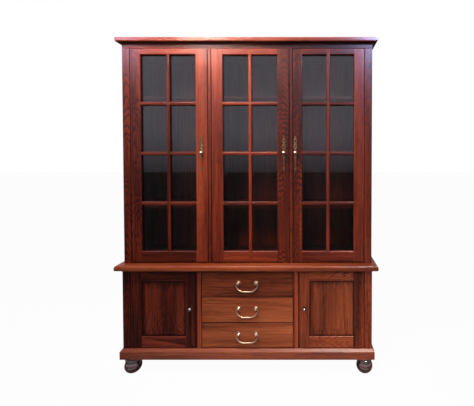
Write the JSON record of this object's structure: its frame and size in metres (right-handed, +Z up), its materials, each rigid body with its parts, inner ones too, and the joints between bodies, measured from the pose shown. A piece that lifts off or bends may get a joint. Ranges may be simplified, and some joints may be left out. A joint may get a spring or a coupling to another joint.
{
  "type": "bookcase",
  "caption": "Tall bookcase with framed glass doors over a moulded waist, panelled cupboards and drawers with bail pulls below, on a plinth with bun feet.",
  "frame": {"origin": "centre of the bounding box's bottom face, on the floor", "axes": "+Z up, -Y out through the doors, +X to the right as seen from the front"},
  "size_m": [1.578, 0.4, 2.0395],
  "materials": {
    "wood_case": "reddish brown lacquer, glossy",
    "wood_frame": "reddish brown lacquer, glossy, darker",
    "wood_panel": "reddish brown lacquer, glossy",
    "wood_inside": "dark stain, satin",
    "wood_feet": "near black lacquer, glossy",
    "brass": "aged, satin",
    "glass": "clear, polished"
  },
  "bodies": {
    "case": {"foot_front_left": "wood_feet", "foot_front_right": "wood_feet", "foot_back_left": "wood_feet", "foot_back_right": "wood_feet", "plinth": "wood_case", "base_bottom": "wood_inside", "base_back": "wood_inside", "waist_top": "wood_case", "upper_bottom": "wood_inside", "upper_back": "wood_inside", "upper_top": "wood_frame", "cornice": "wood_case", "base_side_left": "wood_frame", "base_partition_left": "wood_frame", "upper_side_left": "wood_case", "upper_partition_left": "wood_case", "base_side_right": "wood_frame", "base_partition_right": "wood_frame", "upper_side_right": "wood_case", "upper_partition_right": "wood_case", "shelf_left_lower": "wood_inside", "shelf_left_centre": "wood_inside", "shelf_left_upper": "wood_inside", "shelf_middle_lower": "wood_inside", "shelf_middle_centre": "wood_inside", "shelf_middle_upper": "wood_inside", "shelf_right_lower": "wood_inside", "shelf_right_centre": "wood_inside", "shelf_right_upper": "wood_inside"},
    "glass_door_left": {"glass_door_frame_left": "wood_case", "glass_pane_left": "glass", "door_handle_left": "brass"},
    "glass_door_middle": {"glass_door_frame_middle": "wood_case", "glass_pane_middle": "glass", "door_handle_middle": "brass"},
    "glass_door_right": {"glass_door_frame_right": "wood_case", "glass_pane_right": "glass", "door_handle_right": "brass"},
    "cupboard_door_left": {"cupboard_frame_left": "wood_panel", "cupboard_panel_left": "wood_panel", "cupboard_knob_left": "brass"},
    "cupboard_door_right": {"cupboard_frame_right": "wood_panel", "cupboard_panel_right": "wood_panel", "cupboard_knob_right": "brass"},
    "drawer_lower": {"drawer_front_lower": "wood_panel", "drawer_box_lower": "wood_inside", "pull_post_lower_left": "brass", "pull_post_lower_right": "brass"},
    "bail_lower": {"pull_bail_lower": "brass"},
    "drawer_centre": {"drawer_front_centre": "wood_panel", "drawer_box_centre": "wood_inside", "pull_post_centre_left": "brass", "pull_post_centre_right": "brass"},
    "bail_centre": {"pull_bail_centre": "brass"},
    "drawer_upper": {"drawer_front_upper": "wood_panel", "drawer_box_upper": "wood_inside", "pull_post_upper_left": "brass", "pull_post_upper_right": "brass"},
    "bail_upper": {"pull_bail_upper": "brass"}
  },
  "joints": [
    {"name": "glass_door_left_hinge", "type": "hinge", "parent": "case", "child": "glass_door_left", "pos_m": [-0.6985, -0.139, 1.3325], "axis": [0, 0, -1], "range_deg": [0, 110]},
    {"name": "glass_door_middle_hinge", "type": "hinge", "parent": "case", "child": "glass_door_middle", "pos_m": [-0.207, -0.139, 1.3325], "axis": [0, 0, -1], "range_deg": [0, 110]},
    {"name": "glass_door_right_hinge", "type": "hinge", "parent": "case", "child": "glass_door_right", "pos_m": [0.6985, -0.139, 1.3325], "axis": [0, 0, 1], "range_deg": [0, 110]},
    {"name": "cupboard_door_left_hinge", "type": "hinge", "parent": "case", "child": "cupboard_door_left", "pos_m": [-0.6985, -0.161, 0.398], "axis": [0, 0, -1], "range_deg": [0, 110]},
    {"name": "cupboard_door_right_hinge", "type": "hinge", "parent": "case", "child": "cupboard_door_right", "pos_m": [0.6985, -0.161, 0.398], "axis": [0, 0, 1], "range_deg": [0, 110]},
    {"name": "drawer_lower_slide", "type": "slide", "parent": "case", "child": "drawer_lower", "axis": [0, -1, 0], "range_m": [0, 0.25]},
    {"name": "bail_lower_hinge", "type": "hinge", "parent": "drawer_lower", "child": "bail_lower", "pos_m": [0, -0.184, 0.25267], "axis": [-1, 0, 0], "range_deg": [0, 90]},
    {"name": "drawer_centre_slide", "type": "slide", "parent": "case", "child": "drawer_centre", "axis": [0, -1, 0], "range_m": [0, 0.25]},
    {"name": "bail_centre_hinge", "type": "hinge", "parent": "drawer_centre", "child": "bail_centre", "pos_m": [0, -0.184, 0.408], "axis": [-1, 0, 0], "range_deg": [0, 90]},
    {"name": "drawer_upper_slide", "type": "slide", "parent": "case", "child": "drawer_upper", "axis": [0, -1, 0], "range_m": [0, 0.25]},
    {"name": "bail_upper_hinge", "type": "hinge", "parent": "drawer_upper", "child": "bail_upper", "pos_m": [0, -0.184, 0.56333], "axis": [-1, 0, 0], "range_deg": [0, 90]}
  ]
}
